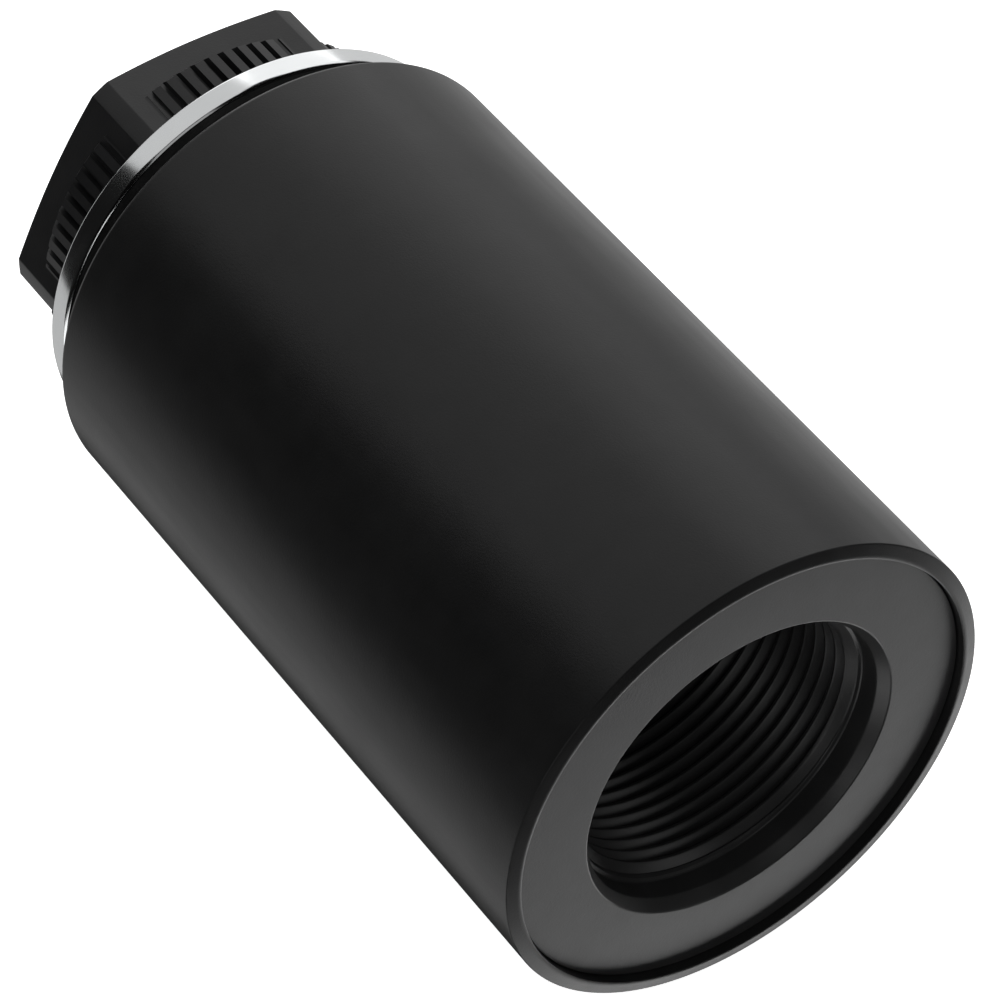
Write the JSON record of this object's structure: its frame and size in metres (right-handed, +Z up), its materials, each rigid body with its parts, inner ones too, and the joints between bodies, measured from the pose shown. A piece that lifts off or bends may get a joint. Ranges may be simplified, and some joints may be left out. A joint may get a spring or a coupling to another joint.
{
  "type": "whole house surge protector",
  "caption": "Cylindrical in-line surge protector with a threaded hub in its recessed end face, a metal clamping ring and a hexagon locknut with a toothed collar.",
  "frame": {"origin": "on the device's axis, in the plane where the panel is clamped: between the rubber gasket and the metal ring", "axes": "+X along the axis, from the locknut to the open threaded hub; +Z up, through the middle of one of the locknut's flats; +Y completes the right-handed frame"},
  "size_m": [0.0912, 0.05, 0.05],
  "materials": {
    "body_plastic": "satin moulded polyamide",
    "hub_plastic": "satin moulded polyamide",
    "nut_plastic": "satin moulded polyamide, finely textured",
    "ring_metal": "turned and lightly brushed",
    "gasket_rubber": "matt",
    "resin": "cast, slightly glossy",
    "terminal_plastic": "moulded",
    "brass": "machined",
    "screw_steel": "zinc plated",
    "board_laminate": "solder mask over glass laminate",
    "tinned_pins": "tinned",
    "varistor_coating": "dipped epoxy over ceramic",
    "fuse_case": "glazed ceramic and tinned caps",
    "tube_metal": "nickel plated",
    "capacitor_case": "moulded box",
    "insulation": "pressed paper"
  },
  "bodies": {
    "housing": {"housing": "body_plastic", "front_hub": "hub_plastic", "hub_o_ring": "gasket_rubber", "resin_seal": "resin", "terminal_block": "terminal_plastic", "terminal_clamps": "brass", "terminal_screws": "screw_steel", "terminal_board": "board_laminate", "board_screws": "screw_steel", "lock_washers": "screw_steel", "board_spacers": "brass", "link_pins": "tinned_pins", "varistor_1": "varistor_coating", "varistor_2": "varistor_coating", "varistor_3": "varistor_coating", "varistor_4": "varistor_coating", "thermal_fuses": "fuse_case", "gas_tube": "tube_metal", "filter_capacitors": "capacitor_case", "power_board": "board_laminate", "insulating_disc": "insulation", "lead_bushing": "gasket_rubber", "panel_gasket": "gasket_rubber"},
    "ring": {"clamp_ring": "ring_metal"},
    "nut": {"locknut": "nut_plastic"}
  },
  "joints": [
    {"name": "ring_slide", "type": "slide", "parent": "housing", "child": "ring", "axis": [-1, 0, 0], "range_m": [0, 0.009]},
    {"name": "nut_turn", "type": "hinge", "parent": "ring", "child": "nut", "pos_m": [0, 0, 0], "axis": [-1, 0, 0], "range_deg": [0, 2160]}
  ],
  "couplings": [
    {"joint": "nut_turn", "follows": "ring_slide", "rad_per_m": 4188.8}
  ]
}
